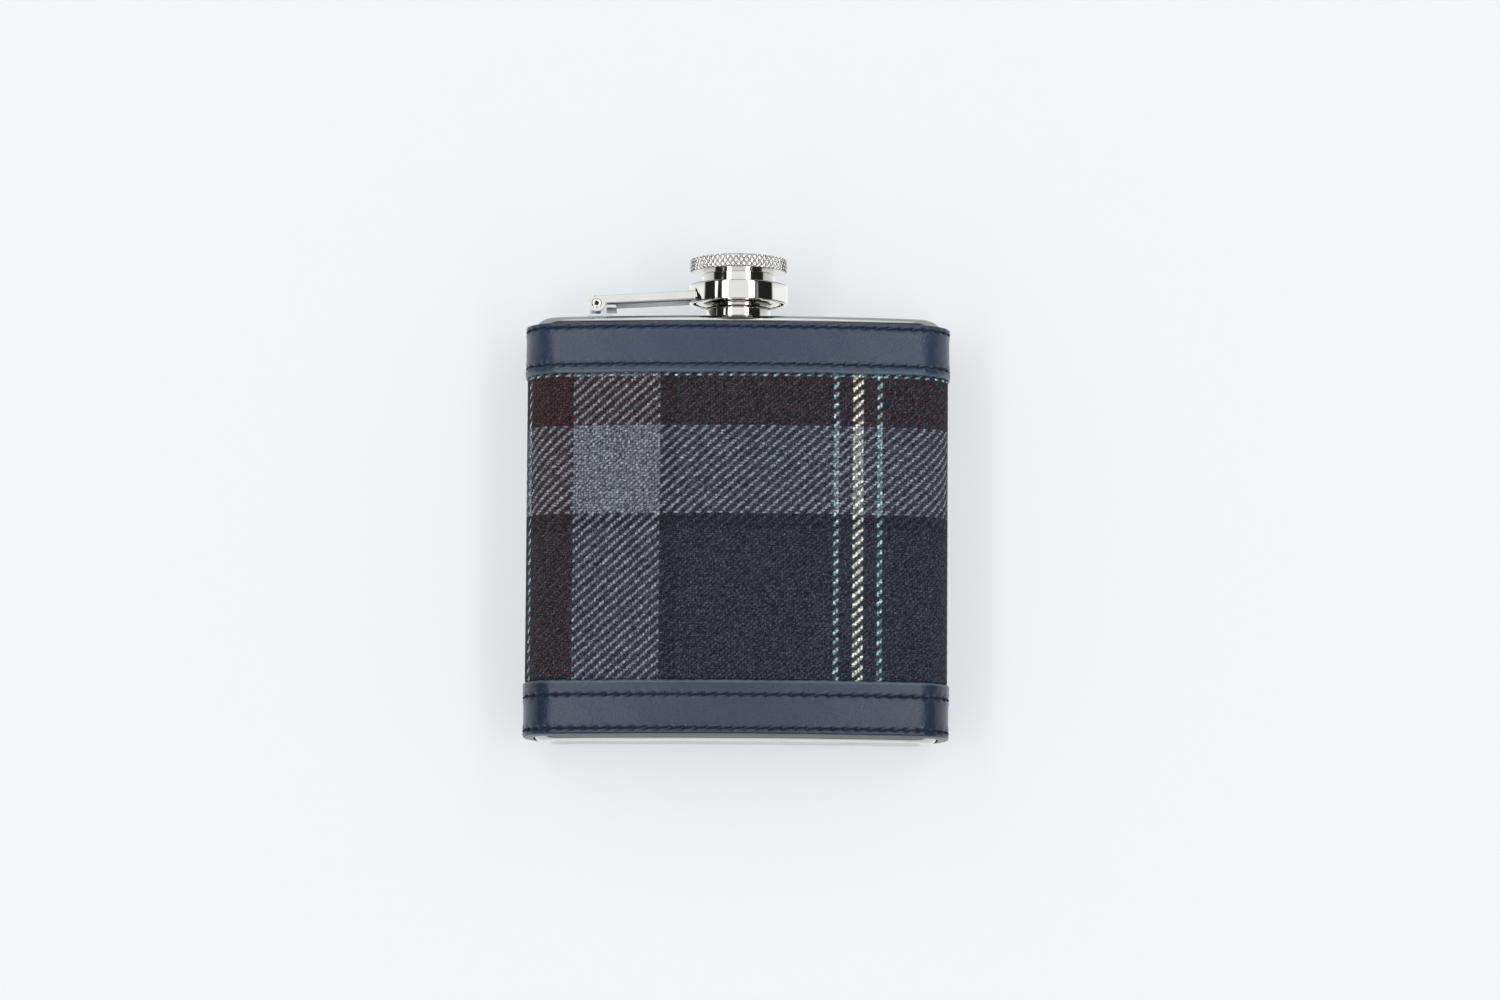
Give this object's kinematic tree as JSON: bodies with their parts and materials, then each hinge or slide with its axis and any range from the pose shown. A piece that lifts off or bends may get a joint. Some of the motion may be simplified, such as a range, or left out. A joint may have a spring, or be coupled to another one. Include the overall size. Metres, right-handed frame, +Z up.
{
  "type": "hip flask",
  "caption": "Curved steel hip flask wrapped in checked cloth with stitched leather bands, and a knurled screw cap kept on by a hinged arm.",
  "frame": {"origin": "middle of the base, on the surface that the flask stands on", "axes": "+Z up the flask to the cap, X across its width with the hinge on the -X side, and the bowed front faces -Y"},
  "size_m": [0.0956, 0.0278, 0.1093],
  "materials": {
    "steel": "satin sheet steel",
    "polished_steel": "mirror polished stainless steel",
    "card": "plain card",
    "cloth": "woollen check in a two by two twill",
    "leather": "smooth navy leather, low sheen",
    "thread": "waxed navy thread",
    "seal": "soft food-grade plastic"
  },
  "bodies": {
    "flask": {"body_wall": "steel", "top_plate": "steel", "base_plate": "steel", "neck": "polished_steel", "neck_weld": "steel", "hinge_bracket": "polished_steel", "bracket_weld": "steel", "hinge_pin": "steel", "backing_card": "card", "cloth_wrap": "cloth", "leather_band_top": "leather", "leather_band_bottom": "leather", "stitches_top_upper": "thread", "stitches_top_lower": "thread", "stitches_bottom_upper": "thread", "stitches_bottom_lower": "thread"},
    "arm": {"arm": "polished_steel", "collar": "polished_steel", "arm_braze": "polished_steel"},
    "seal": {"cap_seal": "seal"},
    "cap": {"cap_barrel": "polished_steel", "cap_knob": "polished_steel"}
  },
  "joints": [
    {"name": "arm_swing", "type": "hinge", "parent": "flask", "child": "arm", "pos_m": [-0.0319, -0.0012, 0.0985], "axis": [0, -1, 0], "range_deg": [0, 181]},
    {"name": "cap_rise", "type": "slide", "parent": "arm", "child": "seal", "axis": [0, 0, 1], "range_m": [0, 0.00245]},
    {"name": "cap_turn", "type": "hinge", "parent": "seal", "child": "cap", "pos_m": [0, -0.0012, 0.1], "axis": [0, 0, 1], "range_deg": [0, 576]}
  ],
  "couplings": [
    {"joint": "cap_rise", "follows": "cap_turn", "m_per_rad": 0.00023873}
  ]
}
